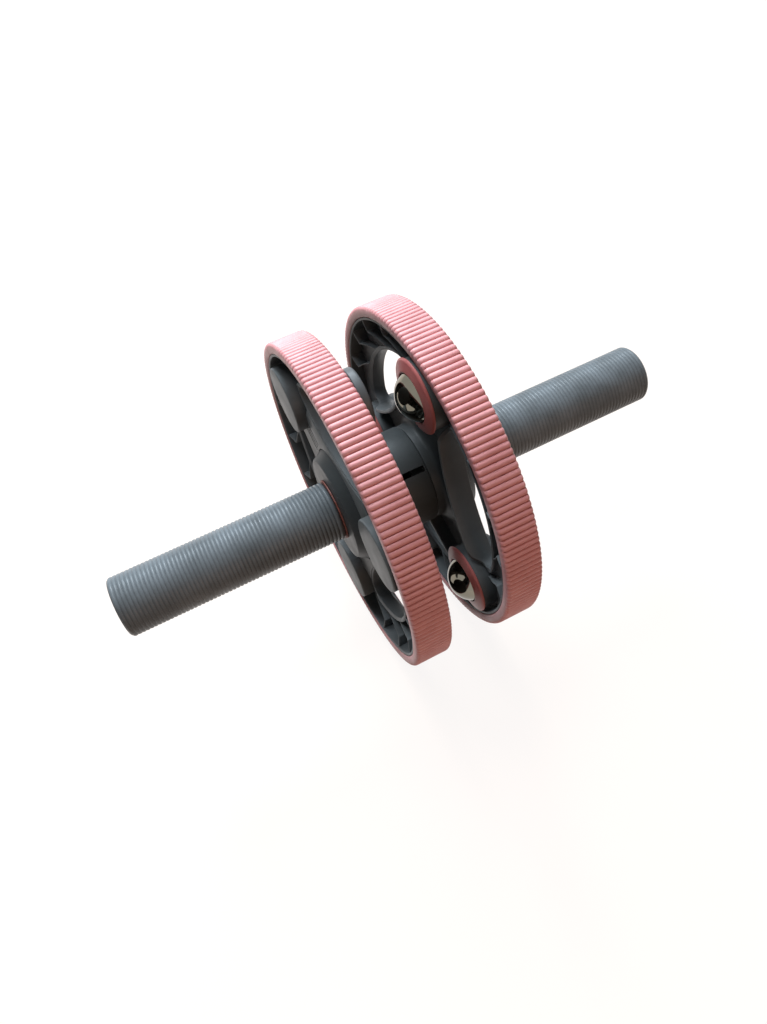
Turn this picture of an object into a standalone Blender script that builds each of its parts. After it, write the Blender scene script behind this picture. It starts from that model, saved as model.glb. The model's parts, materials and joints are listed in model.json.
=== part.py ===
"""Ab wheel: two ribbed wheels on one axis, joined by a bayonet coupling, with a handle each side.

The right half carries three ball casters that face the left half, so that it also works as a sliding
disc when it is taken off the coupling. The left half carries three round foot pads, and its caster
housings are empty. Units are metres. X runs along the axle, Z is up, and the origin is on
the floor under the middle of the axle. Most sizes are counted outward from the middle plane X = 0,
and the left half is the right half's mirror image, turned about the axle.
"""
import math

import bmesh
import bpy
from mathutils import Matrix, Vector

# Wheels
WHEEL_RADIUS = 0.0950
WHEEL_INNER_X = 0.0156
TYRE_WIDTH = 0.0198
TYRE_THICKNESS = 0.0060
TYRE_SHOULDER = 0.0014
TREAD_RIBS = 180
TREAD_DEPTH = 0.0008

# Frame inside each tyre
RIM_THICKNESS = 0.0020
RIM_SIDE_INSET = 0.0006
WEB_THICKNESS = 0.0030
WINDOW_TO_RIM = 0.0200
WINDOW_TO_COLLAR_FOOT = 0.0060
WINDOW_CHORD_RADIUS = 0.1000
WINDOW_CORNER_RADIUS = 0.0060
WINDOW_WALL = 0.0025
WINDOW_WALL_RECESS = 0.0006
WINDOW_WALL_PAST_WEB = 0.0025
DISH_DEPTH = 0.0050
POCKET_RIB_THICKNESS = 0.0018
POCKET_RIB_PITCH_DEG = 19.0
POCKET_RIBS_PER_WINDOW = 4
POCKET_RIB_SHIFT_DEG = 4.3
POCKET_RIB_OUTER_LEAN_DEG = -1.8
POCKET_RIB_INNER_LEAN_DEG = 9.6
POCKET_RIB_KNEE = 0.0058
SPOKE_WIDTH = 0.0150
SPOKE_RECESS = 0.0020
SPOKE_GROOVE_WIDTH = 0.0030
SPOKE_GROOVE_DEPTH = 0.0025

# Ball casters
REPEATS_PER_WHEEL = 3
CASTER_ANGLE_MADE_DEG = 90.0
CAP_TO_RIM = 0.0005
CASTER_ANGLE_RIGHT_DEG = 83.4
CASTER_ANGLE_LEFT_DEG = 138.5
BALL_RADIUS = 0.0140
BALL_PROUD = 0.0106
HOUSING_RADIUS = 0.0190
HOUSING_WALL = 0.0025
HOUSING_FLOOR = 0.0014
HOUSING_PROUD = 0.0006
CAP_RADIUS = 0.0200
CAP_EDGE_HEIGHT = 0.0014
CAP_CONE_HEIGHT = 0.0013
CAP_LIP = 0.0007
CAP_SKIRT_LENGTH = 0.0020
CAP_SKIRT_THICKNESS = 0.0016

# Round foot pads on necks of the left frame, one outside the middle of each window
PAD_TO_RIM = 0.0140
PAD_RADIUS = 0.0155
PAD_NECK_RADIUS = 0.0070
PAD_PIN_RADIUS = 0.0035
PAD_FACE_X = 0.0100
PAD_THICKNESS = 0.0045
PAD_SKIN = 0.0018
PAD_EDGE = 0.0008

# Hub, bearings and axle
HUB_TUBE_RADIUS = 0.0172
BEARING_RADIUS = 0.0140
BEARING_BORE_RADIUS = 0.0082
BEARING_WIDTH = 0.0050
BEARING_SPACER_WIDTH = 0.0038
BEARING_SPACER_RADIUS = 0.0105
HUB_COVER_RADIUS = 0.0290
HUB_COVER_FOOT_RADIUS = 0.0345
HUB_COVER_THICKNESS = 0.0027
HUB_COVER_EDGE = 0.0012
COLLAR_RADIUS = 0.0275
COLLAR_FOOT_RADIUS = 0.0330
COLLAR_WALL = 0.0032
COLLAR_FLOOR = 0.0040
SCREW_HEAD_RADIUS = 0.0060
SCREW_HEAD_HEIGHT = 0.0036
SCREW_SHANK_RADIUS = 0.0030
SCREW_SHANK_LENGTH = 0.0120
SCREW_SOCKET_RADIUS = 0.0030
SCREW_SOCKET_DEPTH = 0.0020
AXLE_WASHER_RADIUS = 0.0105
AXLE_WASHER_THICKNESS = 0.0015

# Bayonet coupling between the halves
DRUM_RADIUS = 0.0280
DRUM_WALL = 0.0033
SEAM_X = 0.01335
SPIGOT_RADIUS = 0.0210
SPIGOT_WALL = 0.0028
SPIGOT_REACH = 0.0075
LUG_SPAN_DEG = 36.0
LUG_WIDTH = 0.0040
TOOTH_SPAN_DEG = 50.0
STOP_SPAN_DEG = 4.0
SLOT_ANGLE_DEG = 113.0
SLOT_WIDTH = 0.0032
SLOT_LENGTH = 0.0142
SLOT_FROM_SEAM = 0.0012
FIXING_SCREW_RADIUS = 0.0012
FIXING_HEAD_RADIUS = 0.0019
FIXING_HEAD_HEIGHT = 0.0012
FIXING_SCREW_LENGTH = 0.0110
FIXING_HOLE_SPARE = 0.0005
SLEEVE_DEPTH = 0.0060

# Handles
HANDLE_END_X = 0.1595
GRIP_RADIUS = 0.0167
CORE_RADIUS = 0.0124
CORE_WALL = 0.0018
CORE_SOLID_LENGTH = 0.0070
STUB_RADIUS = 0.0079
SHOULDER_RADIUS = 0.0090
GRIP_WASHER_RADIUS = 0.0174
GRIP_WASHER_THICKNESS = 0.0006
GRIP_END_ROUNDING = 0.0012
PLUG_HEAD_HEIGHT = 0.0012
PLUG_SHANK_LENGTH = 0.0120

# Clearances
FIT_GAP = 0.0003
BALL_GAP = 0.0004

# Facets of round forms
RIM_SEGMENTS = 45
TURNED_SEGMENTS = 20
CASTER_SEGMENTS = 14
SEAT_STEPS = 6
SMALL_SEGMENTS = 8
WINDOW_STEPS = 6
SHARP_ANGLE_DEG = 35.0
WELD_DISTANCE = 2e-6
FLAT_ANGLE_DEG = 0.1

# Places worked out from the sizes above
CREST_HALF_ANGLE = math.pi / TREAD_RIBS
FLAT_TO_CORNER = math.cos(math.pi / CASTER_SEGMENTS)
AXLE_HEIGHT = WHEEL_RADIUS * math.cos(CREST_HALF_ANGLE)
WHEEL_OUTER_X = WHEEL_INNER_X + TYRE_WIDTH
TYRE_BORE_RADIUS = WHEEL_RADIUS - TYRE_THICKNESS + FIT_GAP
RIM_RADIUS = WHEEL_RADIUS - TYRE_THICKNESS
WINDOW_OUTER_RADIUS = RIM_RADIUS - WINDOW_TO_RIM
WINDOW_CHORD_DISTANCE = COLLAR_FOOT_RADIUS + WINDOW_TO_COLLAR_FOOT
CASTER_CIRCLE_RADIUS = RIM_RADIUS - RIM_THICKNESS - CAP_RADIUS - CAP_TO_RIM
PAD_CIRCLE_RADIUS = RIM_RADIUS - PAD_TO_RIM
RIM_INNER_X = WHEEL_INNER_X + RIM_SIDE_INSET
RIM_OUTER_X = WHEEL_OUTER_X - RIM_SIDE_INSET
WEB_INNER_X = (WHEEL_INNER_X + WHEEL_OUTER_X - WEB_THICKNESS) / 2
WEB_OUTER_X = WEB_INNER_X + WEB_THICKNESS
WALL_INNER_X = RIM_INNER_X + WINDOW_WALL_RECESS
WALL_OUTER_X = WEB_OUTER_X + WINDOW_WALL_PAST_WEB
HOUSING_END_X = WHEEL_OUTER_X + HOUSING_PROUD
HOUSING_BORE_RADIUS = HOUSING_RADIUS - HOUSING_WALL
HOUSING_FLOOR_X = HOUSING_END_X - HOUSING_FLOOR
BALL_X = WHEEL_INNER_X - BALL_PROUD + BALL_RADIUS
HOUSING_FRONT_X = WHEEL_INNER_X + FIT_GAP
PAD_BACK_X = PAD_FACE_X + PAD_THICKNESS
PAD_SOCKET_X = PAD_FACE_X + PAD_SKIN
HUB_COVER_FACE_X = HOUSING_END_X
HUB_TUBE_END_X = HUB_COVER_FACE_X - HUB_COVER_THICKNESS - FIT_GAP
BEARING_MIDDLE_X = WEB_INNER_X + WEB_THICKNESS / 2
INNER_BEARING_X = BEARING_MIDDLE_X - BEARING_SPACER_WIDTH / 2 - FIT_GAP - BEARING_WIDTH
OUTER_BEARING_X = BEARING_MIDDLE_X + BEARING_SPACER_WIDTH / 2 + FIT_GAP
HUB_TUBE_START_X = INNER_BEARING_X - FIT_GAP
COLLAR_START_X = SEAM_X + FIT_GAP / 2
DRUM_END_X = SEAM_X - FIT_GAP / 2
COLLAR_BORE_RADIUS = COLLAR_RADIUS - COLLAR_WALL
COLLAR_FLOOR_X = WEB_INNER_X - COLLAR_FLOOR
SLEEVE_RADIUS = COLLAR_BORE_RADIUS - FIT_GAP
SLEEVE_BORE_RADIUS = SPIGOT_RADIUS - SPIGOT_WALL
SLEEVE_END_X = COLLAR_FLOOR_X - FIT_GAP
FIXING_CIRCLE_RADIUS = (SLEEVE_RADIUS + SLEEVE_BORE_RADIUS) / 2
DRUM_BORE_RADIUS = DRUM_RADIUS - DRUM_WALL
LUG_RADIUS = DRUM_BORE_RADIUS - BALL_GAP
SPIGOT_START_X = COLLAR_START_X - SPIGOT_REACH
TOOTH_BORE_RADIUS = SPIGOT_RADIUS + BALL_GAP
TOOTH_START_X = SPIGOT_START_X + LUG_WIDTH + BALL_GAP
TOOTH_CENTRE_DEG = SLOT_ANGLE_DEG + 180.0 / REPEATS_PER_WHEEL
GRIP_WASHER_X = HUB_COVER_FACE_X + FIT_GAP
CORE_START_X = GRIP_WASHER_X + GRIP_WASHER_THICKNESS + FIT_GAP
SHOULDER_START_X = OUTER_BEARING_X + BEARING_WIDTH + FIT_GAP
CORE_END_X = HANDLE_END_X - PLUG_HEAD_HEIGHT - FIT_GAP
WINDOW_CHORD_CENTRE = WINDOW_CHORD_DISTANCE + WINDOW_CHORD_RADIUS


def srgb(red, green, blue):
    """Turn display values from 0 to 255 into a linear colour."""
    linear = []
    for value in (red, green, blue):
        part = value / 255.0
        linear.append(part / 12.92 if part <= 0.04045 else ((part + 0.055) / 1.055) ** 2.4)
    return (*linear, 1.0)


TYRE_PINK = srgb(222, 152, 148)
CAP_PINK = srgb(186, 104, 98)
FRAME_GREY = srgb(122, 127, 129)
GRIP_GREY = srgb(96, 103, 107)
SEAT_WHITE = srgb(205, 205, 198)
PAD_GREY = srgb(104, 110, 114)
PLUG_GREY = srgb(74, 78, 80)
STEEL = srgb(176, 178, 180)
CHROME = srgb(226, 226, 224)
WASHER_BROWN = srgb(120, 66, 56)


def clear_scene():
    """Remove every object that the scene holds."""
    for old in list(bpy.data.objects):
        bpy.data.objects.remove(old, do_unlink=True)


def make_material(name, colour, roughness, metallic):
    """Make one Principled material."""
    material = bpy.data.materials.new(name)
    material.use_nodes = True
    shader = material.node_tree.nodes["Principled BSDF"]
    shader.inputs["Base Color"].default_value = colour
    shader.inputs["Roughness"].default_value = roughness
    shader.inputs["Metallic"].default_value = metallic
    material.diffuse_color = colour
    return material


def link(name, mesh, smooth_deg=SHARP_ANGLE_DEG):
    """Put a mesh into the scene as a named object, shaded smooth with sharp corners."""
    obj = bpy.data.objects.new(name, mesh)
    bpy.context.scene.collection.objects.link(obj)
    mesh.shade_smooth()
    mesh.set_sharp_from_angle(angle=math.radians(smooth_deg))
    return obj


def finish_mesh(bm, name):
    """Make faces point outward and turn a bmesh into a mesh."""
    bmesh.ops.recalc_face_normals(bm, faces=bm.faces)
    mesh = bpy.data.meshes.new(name)
    bm.to_mesh(mesh)
    bm.free()
    return mesh


def turned(name, profile, segments=TURNED_SEGMENTS, side=1, centre=(0.0, 0.0)):
    """Spin a closed profile of (x, radius) points about the X axis through centre (y, z)."""
    bm = bmesh.new()
    axis_start = Vector((0.0, centre[0], centre[1]))
    points = []
    for x, radius in profile:
        points.append(bm.verts.new(axis_start + Vector((side * x, radius, 0.0))))
    edges = []
    for index, point in enumerate(points):
        edges.append(bm.edges.new((point, points[(index + 1) % len(points)])))
    bmesh.ops.spin(bm, geom=points + edges, cent=axis_start, axis=(1.0, 0.0, 0.0),
                   angle=2.0 * math.pi, steps=segments, use_merge=True)
    bmesh.ops.remove_doubles(bm, verts=bm.verts, dist=1e-7)
    bmesh.ops.dissolve_degenerate(bm, edges=bm.edges, dist=1e-8)
    flat = [face for face in bm.faces if face.calc_area() < 1e-13]
    bmesh.ops.delete(bm, geom=flat, context="FACES_ONLY")
    inside = [edge for edge in bm.edges if not edge.link_faces]
    bmesh.ops.delete(bm, geom=inside, context="EDGES")
    return link(name, finish_mesh(bm, name))


def extruded(name, outline, start_x, end_x, side=1):
    """Extrude a closed outline of (y, z) points along X."""
    bm = bmesh.new()
    points = [bm.verts.new((side * start_x, y, z)) for y, z in outline]
    face = bm.faces.new(points)
    grown = bmesh.ops.extrude_face_region(bm, geom=[face])
    moved = [item for item in grown["geom"] if isinstance(item, bmesh.types.BMVert)]
    bmesh.ops.translate(bm, verts=moved, vec=(side * (end_x - start_x), 0.0, 0.0))
    return link(name, finish_mesh(bm, name))


def join(name, objects):
    """Join objects that don't touch each other into one object of separate bodies."""
    bm = bmesh.new()
    for obj in objects:
        mesh = obj.data
        mesh.transform(obj.matrix_world)
        bm.from_mesh(mesh)
        bpy.data.objects.remove(obj, do_unlink=True)
    return link(name, finish_mesh(bm, name))


def combine(target, tool, operation):
    """Apply a Boolean of one object by another, remove the tool and weld what the cut left."""
    cut = target.modifiers.new(operation.lower(), "BOOLEAN")
    cut.operation = operation
    cut.solver = "EXACT"
    cut.object = tool
    depsgraph = bpy.context.evaluated_depsgraph_get()
    bm = bmesh.new()
    bm.from_mesh(target.evaluated_get(depsgraph).data)
    target.modifiers.clear()
    bpy.data.objects.remove(tool, do_unlink=True)
    bmesh.ops.remove_doubles(bm, verts=bm.verts, dist=WELD_DISTANCE)
    bmesh.ops.dissolve_degenerate(bm, edges=bm.edges, dist=WELD_DISTANCE)
    bmesh.ops.dissolve_limit(bm, angle_limit=math.radians(FLAT_ANGLE_DEG), verts=bm.verts, edges=bm.edges)
    target.data = finish_mesh(bm, target.name)
    target.data.shade_smooth()
    target.data.set_sharp_from_angle(angle=math.radians(SHARP_ANGLE_DEG))
    return target


def polar(radius, degrees):
    """Give the (y, z) point at a radius and an angle about the axle."""
    angle = math.radians(degrees)
    return radius * math.cos(angle), radius * math.sin(angle)


def arc(centre, radius, start_deg, end_deg, steps):
    """Give points along an arc, both ends included."""
    points = []
    for index in range(steps + 1):
        y, z = polar(radius, start_deg + (end_deg - start_deg) * index / steps)
        points.append((centre[0] + y, centre[1] + z))
    return points


def rotated(points, degrees):
    """Turn (y, z) points about the axle."""
    angle = math.radians(degrees)
    cosine, sine = math.cos(angle), math.sin(angle)
    return [(y * cosine - z * sine, y * sine + z * cosine) for y, z in points]


def ring_sector(inner_radius, outer_radius, centre_deg, span_deg, steps=6):
    """Outline a piece of a ring."""
    half = span_deg / 2
    outer = arc((0.0, 0.0), outer_radius, centre_deg - half, centre_deg + half, steps)
    inner = arc((0.0, 0.0), inner_radius, centre_deg + half, centre_deg - half, steps)
    return outer + inner


def fold_angles(first_deg):
    """Give the three angles of a pattern that repeats round the axle."""
    return [first_deg + 360.0 * index / REPEATS_PER_WHEEL for index in range(REPEATS_PER_WHEEL)]


def window_outline(centre_deg, grow=0.0):
    """Outline a window: where the rim's circle and the chord wall's circle overlap, corners rounded."""
    rim_reach = WINDOW_OUTER_RADIUS - WINDOW_CORNER_RADIUS
    chord_reach = WINDOW_CHORD_RADIUS - WINDOW_CORNER_RADIUS
    along = (rim_reach**2 - chord_reach**2 + WINDOW_CHORD_CENTRE**2) / (2 * WINDOW_CHORD_CENTRE)
    across = math.sqrt(rim_reach**2 - along**2)
    rim_half = math.degrees(math.atan2(across, along))
    chord_half = math.degrees(math.atan2(across, WINDOW_CHORD_CENTRE - along))
    corner = WINDOW_CORNER_RADIUS + grow
    outline = arc((0.0, 0.0), WINDOW_OUTER_RADIUS + grow, -rim_half, rim_half, WINDOW_STEPS)
    outline += arc((along, across), corner, rim_half, 180.0 - chord_half, 3)[1:-1]
    outline += arc((WINDOW_CHORD_CENTRE, 0.0), WINDOW_CHORD_RADIUS + grow,
                   180.0 - chord_half, 180.0 + chord_half, WINDOW_STEPS)
    outline += arc((along, -across), corner, 180.0 + chord_half, 360.0 - rim_half, 3)[1:-1]
    return rotated(outline, centre_deg)


def zip_rings(bm, fine, coarse):
    """Fill between two rings where the fine one has a whole multiple of the coarse one's points."""
    ratio = len(fine) // len(coarse)
    for index, start in enumerate(coarse):
        end = coarse[(index + 1) % len(coarse)]
        middle = index * ratio + ratio // 2
        for step in range(ratio):
            at = (index * ratio + step) % len(fine)
            following = (at + 1) % len(fine)
            corner = start if index * ratio + step < middle else end
            bm.faces.new((fine[at], fine[following], corner))
        if ratio > 1:
            bm.faces.new((fine[middle % len(fine)], end, start))


def quad_rings(bm, first, second):
    """Fill between two rings with as many points each."""
    for index in range(len(first)):
        following = (index + 1) % len(first)
        bm.faces.new((first[index], first[following], second[following], second[index]))


def ring_points(bm, x, radii):
    """Add a ring of points at x, with one radius for each, starting on the bottom line."""
    points = []
    for index, radius in enumerate(radii):
        angle = -math.pi / 2 + CREST_HALF_ANGLE + 2 * math.pi * index / len(radii)
        points.append(bm.verts.new((x, radius * math.cos(angle), radius * math.sin(angle))))
    return points


def make_tyre(name, side):
    """Make a tyre whose tread has cross ribs with grooves between them."""
    bm = bmesh.new()
    tread = [WHEEL_RADIUS, WHEEL_RADIUS - TREAD_DEPTH] * TREAD_RIBS
    shoulder = [WHEEL_RADIUS - TYRE_SHOULDER] * RIM_SEGMENTS
    bore = [TYRE_BORE_RADIUS] * RIM_SEGMENTS
    sides = []
    for x, inward in ((WHEEL_INNER_X, 1), (WHEEL_OUTER_X, -1)):
        rings = (ring_points(bm, side * x, bore), ring_points(bm, side * x, shoulder),
                 ring_points(bm, side * (x + inward * TYRE_SHOULDER), tread))
        quad_rings(bm, rings[0], rings[1])
        zip_rings(bm, rings[2], rings[1])
        sides.append(rings)
    quad_rings(bm, sides[0][0], sides[1][0])
    quad_rings(bm, sides[0][2], sides[1][2])
    return link(name, finish_mesh(bm, name), smooth_deg=20.0)


def pocket_rib(centre_deg, start_x, end_x, side):
    """Make one bent rib between the rim and the wall round the windows."""
    rim_end = RIM_RADIUS - RIM_THICKNESS / 2
    knee = RIM_RADIUS - RIM_THICKNESS - POCKET_RIB_KNEE
    wall_end = WINDOW_OUTER_RADIUS + WINDOW_WALL / 2
    stations = ((rim_end, 0.0), (knee, POCKET_RIB_OUTER_LEAN_DEG), (wall_end, POCKET_RIB_INNER_LEAN_DEG))
    near, far = [], []
    for radius, lean in stations:
        half = math.degrees(POCKET_RIB_THICKNESS / 2 / radius)
        near.append(polar(radius, centre_deg + lean - half))
        far.append(polar(radius, centre_deg + lean + half))
    return extruded("rib", near + far[::-1], start_x, end_x, side)


def pocket_ribs(first_window_deg, start_x, end_x, side):
    """Make the ribs of one side of the rim, which leave room for the caster housings."""
    ribs = []
    middle = (POCKET_RIBS_PER_WINDOW - 1) / 2
    for window_deg in fold_angles(first_window_deg):
        for index in range(POCKET_RIBS_PER_WINDOW):
            at = window_deg + POCKET_RIB_SHIFT_DEG + (index - middle) * POCKET_RIB_PITCH_DEG
            ribs.append(pocket_rib(at, start_x, end_x, side))
    return join("ribs", ribs)


def dish_cutter(face_x, floor_x, side):
    """Make the ring that slopes the rim's ribs and walls down from the rim to the windows."""
    outward = 1 if face_x > floor_x else -1
    start = RIM_RADIUS - RIM_THICKNESS / 3
    end = WINDOW_OUTER_RADIUS - WINDOW_CORNER_RADIUS
    clear_x = face_x + outward * DISH_DEPTH
    profile = [(face_x + outward * FIT_GAP, start), (clear_x, start), (clear_x, end), (floor_x, end),
               (floor_x, WINDOW_OUTER_RADIUS)]
    return turned("dish", profile, RIM_SEGMENTS // 2, side)


def spoke(centre_deg, x_span, radius_span, width, side):
    """Make a straight bar between two radii, for a spoke or for the groove in one."""
    start_x, end_x = x_span
    start_radius, end_radius = radius_span
    half = width / 2
    outline = [(start_radius, -half), (end_radius, -half), (end_radius, half), (start_radius, half)]
    return extruded("spoke", rotated(outline, centre_deg), start_x, end_x, side)


def hub_profile():
    """Outline half of the hub: the coupling collar, the web's middle and the bearing tube."""
    bearing_bore = BEARING_RADIUS + FIT_GAP
    spacer_start = INNER_BEARING_X + BEARING_WIDTH + FIT_GAP
    spacer_end = OUTER_BEARING_X - FIT_GAP
    return [(COLLAR_START_X, COLLAR_BORE_RADIUS), (COLLAR_START_X, COLLAR_RADIUS),
            (COLLAR_START_X + COLLAR_WALL, COLLAR_RADIUS),
            (WEB_INNER_X + WEB_THICKNESS / 4, COLLAR_FOOT_RADIUS),
            (WEB_OUTER_X - WEB_THICKNESS / 4, COLLAR_FOOT_RADIUS), (WEB_OUTER_X, HUB_TUBE_RADIUS),
            (HUB_TUBE_END_X, HUB_TUBE_RADIUS), (HUB_TUBE_END_X, bearing_bore), (spacer_end, bearing_bore),
            (spacer_end, BEARING_SPACER_RADIUS), (spacer_start, BEARING_SPACER_RADIUS),
            (spacer_start, bearing_bore), (HUB_TUBE_START_X, bearing_bore),
            (HUB_TUBE_START_X, HUB_TUBE_RADIUS), (COLLAR_FLOOR_X, HUB_TUBE_RADIUS),
            (COLLAR_FLOOR_X, COLLAR_BORE_RADIUS)]


def make_frame(name, side):
    """Make a wheel's moulded frame: rim, web, windows, ribs, spokes, housings and hub."""
    caster_deg = CASTER_ANGLE_MADE_DEG
    window_deg = caster_deg + 180.0 / REPEATS_PER_WHEEL
    frame = turned(name, [(WEB_INNER_X, COLLAR_FOOT_RADIUS - COLLAR_WALL),
                          (WEB_INNER_X, RIM_RADIUS - RIM_THICKNESS * 2 / 3),
                          (WEB_OUTER_X, RIM_RADIUS - RIM_THICKNESS * 2 / 3),
                          (WEB_OUTER_X, COLLAR_FOOT_RADIUS - COLLAR_WALL)], RIM_SEGMENTS // 2, side)
    walls = [extruded("wall", window_outline(at, WINDOW_WALL), WALL_INNER_X, WALL_OUTER_X, side)
             for at in fold_angles(window_deg)]
    combine(frame, join("walls", walls), "UNION")
    for rib_start, rib_end in ((RIM_INNER_X, WEB_INNER_X + WEB_THICKNESS / 3),
                               (WEB_OUTER_X - WEB_THICKNESS / 3, RIM_OUTER_X)):
        combine(frame, pocket_ribs(window_deg, rib_start, rib_end, side), "UNION")
    combine(frame, dish_cutter(WALL_INNER_X, WALL_INNER_X + DISH_DEPTH, side), "DIFFERENCE")
    combine(frame, dish_cutter(RIM_OUTER_X - FIT_GAP, WALL_OUTER_X + FIT_GAP, side), "DIFFERENCE")
    windows = [extruded("window", window_outline(at), 0.0, 2 * WHEEL_OUTER_X, side)
               for at in fold_angles(window_deg)]
    combine(frame, join("windows", windows), "DIFFERENCE")
    rim = turned("rim", [(RIM_INNER_X, RIM_RADIUS - RIM_THICKNESS), (RIM_INNER_X, RIM_RADIUS),
                         (RIM_OUTER_X, RIM_RADIUS), (RIM_OUTER_X, RIM_RADIUS - RIM_THICKNESS)],
                 RIM_SEGMENTS, side)
    combine(frame, rim, "UNION")
    for at in fold_angles(caster_deg):
        add_housing(frame, at, side)
    spoke_face = RIM_OUTER_X - SPOKE_RECESS
    spoke_root = HUB_COVER_FOOT_RADIUS + 2 * FIT_GAP
    spoke_tip = CASTER_CIRCLE_RADIUS - HOUSING_RADIUS + HOUSING_WALL / 2
    bar_x = (WEB_OUTER_X - WEB_THICKNESS / 4, spoke_face)
    groove_x = (spoke_face - SPOKE_GROOVE_DEPTH, 2 * spoke_face)
    groove_span = (spoke_root + SPOKE_GROOVE_WIDTH, spoke_tip - SPOKE_GROOVE_WIDTH)
    for at in fold_angles(caster_deg):
        combine(frame, spoke(at, bar_x, (spoke_root, spoke_tip), SPOKE_WIDTH, side), "UNION")
        combine(frame, spoke(at, groove_x, groove_span, SPOKE_GROOVE_WIDTH, side), "DIFFERENCE")
    combine(frame, turned("hub", hub_profile(), TURNED_SEGMENTS, side), "UNION")
    combine(frame, fixing_holes(side), "DIFFERENCE")
    for at in fold_angles(caster_deg):
        bore_housing(frame, at, side)
    return frame


def make_left_frame(name, side):
    """Make the left frame, which has the foot pads' necks as well."""
    frame = make_frame(name, side)
    root_x = WEB_INNER_X + WEB_THICKNESS / 2
    pin_x = PAD_SOCKET_X + FIT_GAP
    shoulder_x = PAD_BACK_X + FIT_GAP
    profile = [(pin_x, 0.0), (pin_x, PAD_PIN_RADIUS), (shoulder_x, PAD_PIN_RADIUS),
               (shoulder_x, PAD_NECK_RADIUS), (root_x, PAD_NECK_RADIUS), (root_x, 0.0)]
    for at in fold_angles(CASTER_ANGLE_MADE_DEG + 180.0 / REPEATS_PER_WHEEL):
        neck = turned("neck", profile, CASTER_SEGMENTS, side, polar(PAD_CIRCLE_RADIUS, at))
        combine(frame, neck, "UNION")
    return frame


def make_pad(name, side):
    """Make a foot pad with the socket that its neck's pin sits in."""
    socket = PAD_PIN_RADIUS + FIT_GAP
    profile = [(PAD_FACE_X, 0.0), (PAD_FACE_X, PAD_RADIUS - PAD_EDGE), (PAD_FACE_X + PAD_EDGE, PAD_RADIUS),
               (PAD_BACK_X, PAD_RADIUS), (PAD_BACK_X, socket), (PAD_SOCKET_X, socket), (PAD_SOCKET_X, 0.0)]
    return turned(name, profile, TURNED_SEGMENTS, side)


def add_housing(frame, degrees, side):
    """Add one caster housing to a frame, still without its bore."""
    profile = [(HOUSING_FRONT_X, 0.0), (HOUSING_FRONT_X, HOUSING_RADIUS), (HOUSING_END_X, HOUSING_RADIUS),
               (HOUSING_END_X, 0.0)]
    body = turned("housing", profile, TURNED_SEGMENTS, side, polar(CASTER_CIRCLE_RADIUS, degrees))
    combine(frame, body, "UNION")


def bore_housing(frame, degrees, side):
    """Cut the bore of one caster housing."""
    profile = [(0.0, 0.0), (0.0, HOUSING_BORE_RADIUS), (HOUSING_FLOOR_X, HOUSING_BORE_RADIUS),
               (HOUSING_FLOOR_X, 0.0)]
    bore = turned("bore", profile, CASTER_SEGMENTS, side, polar(CASTER_CIRCLE_RADIUS, degrees))
    combine(frame, bore, "DIFFERENCE")


def make_cap(name, side):
    """Make the coloured ring that holds a ball in its housing."""
    back = HOUSING_FRONT_X - FIT_GAP
    edge = back - CAP_EDGE_HEIGHT
    lip = edge - CAP_CONE_HEIGHT
    lip_radius = math.sqrt(BALL_RADIUS**2 - (BALL_X - lip) ** 2) / FLAT_TO_CORNER + BALL_GAP
    skirt_radius = HOUSING_BORE_RADIUS - FIT_GAP
    skirt_end = back + CAP_SKIRT_LENGTH
    skirt_bore = skirt_radius - CAP_SKIRT_THICKNESS
    profile = [(lip, lip_radius), (lip, lip_radius + CAP_LIP), (edge, CAP_RADIUS - CAP_LIP),
               (edge + CAP_LIP, CAP_RADIUS), (back, CAP_RADIUS), (back, skirt_radius),
               (skirt_end, skirt_radius), (skirt_end, skirt_bore), (back, skirt_bore)]
    return turned(name, profile, CASTER_SEGMENTS, side)


def make_seat(name, side):
    """Make the cup behind a ball, whose flats all stay clear of the ball."""
    front = HOUSING_FRONT_X + CAP_SKIRT_LENGTH
    back = HOUSING_FLOOR_X - FIT_GAP
    outer = HOUSING_BORE_RADIUS - FIT_GAP
    clear = BALL_RADIUS + BALL_GAP
    half_step = math.acos((front - BALL_X) / clear) / (2 * SEAT_STEPS)
    reach = clear / math.cos(half_step)
    first = math.acos((front - BALL_X) / reach)
    profile = [(front, outer), (back, outer), (back, 0.0)]
    for index in range(SEAT_STEPS + 1):
        angle = first * index / SEAT_STEPS
        profile.append((BALL_X + reach * math.cos(angle), reach * math.sin(angle) / FLAT_TO_CORNER))
    return turned(name, profile, CASTER_SEGMENTS, side)


def make_ball(name, side):
    """Make a caster's ball, with its origin at its middle."""
    bm = bmesh.new()
    bmesh.ops.create_uvsphere(bm, u_segments=14, v_segments=8, radius=BALL_RADIUS)
    bmesh.ops.rotate(bm, verts=bm.verts, matrix=Matrix.Rotation(math.radians(90.0), 3, "Y"))
    ball = link(name, finish_mesh(bm, name), smooth_deg=60.0)
    ball.location.x = side * BALL_X
    return ball


def make_bearing(name, start_x, side):
    """Make a sealed bearing as one ring."""
    end_x = start_x + BEARING_WIDTH
    profile = [(start_x, BEARING_BORE_RADIUS), (start_x, BEARING_RADIUS), (end_x, BEARING_RADIUS),
               (end_x, BEARING_BORE_RADIUS)]
    return turned(name, profile, TURNED_SEGMENTS, side)


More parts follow.
